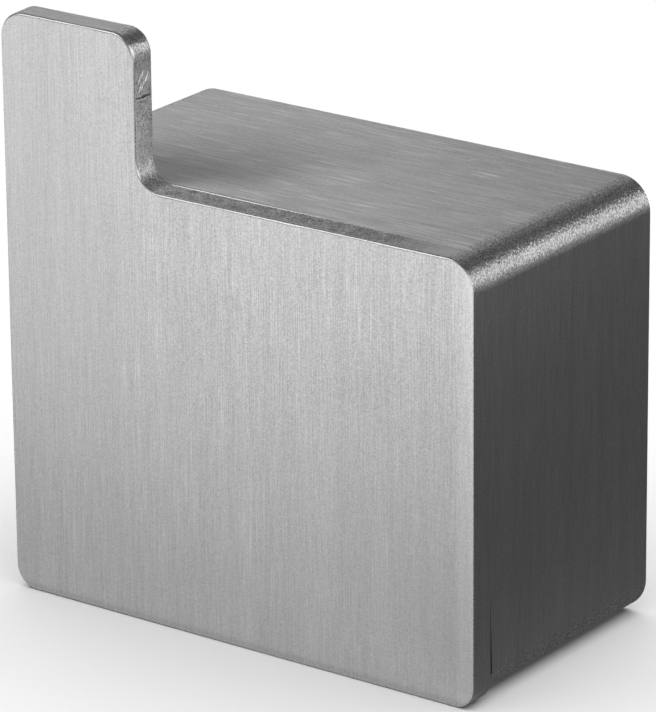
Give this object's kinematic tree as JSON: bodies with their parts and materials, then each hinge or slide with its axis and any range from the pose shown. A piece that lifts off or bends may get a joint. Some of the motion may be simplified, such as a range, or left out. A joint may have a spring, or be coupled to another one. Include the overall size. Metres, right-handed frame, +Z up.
{
  "type": "towel hook",
  "caption": "Wall-mounted towel hook of brushed stainless steel: a flat front plate with an upright finger on a box-shaped tube body that slides over a folded wall bracket.",
  "frame": {"origin": "on the wall face of the bracket, midway between its two screw slots and level with the tube's axis", "axes": "+Z up, +Y into the wall, the plate faces -Y, and the finger is on the -X side"},
  "size_m": [0.05, 0.027, 0.0541],
  "materials": {
    "brushed_plate": "brushed along the height, edges cut by laser and broken",
    "brushed_tube": "brushed across the width on top and along the height at the sides",
    "bracket_sheet": "plain rolled sheet, folded",
    "screw_steel": "machined"
  },
  "bodies": {
    "root": {"front_plate": "brushed_plate", "body_sleeve": "brushed_tube", "wall_bracket": "bracket_sheet", "grub_screw": "screw_steel"}
  },
  "joints": []
}
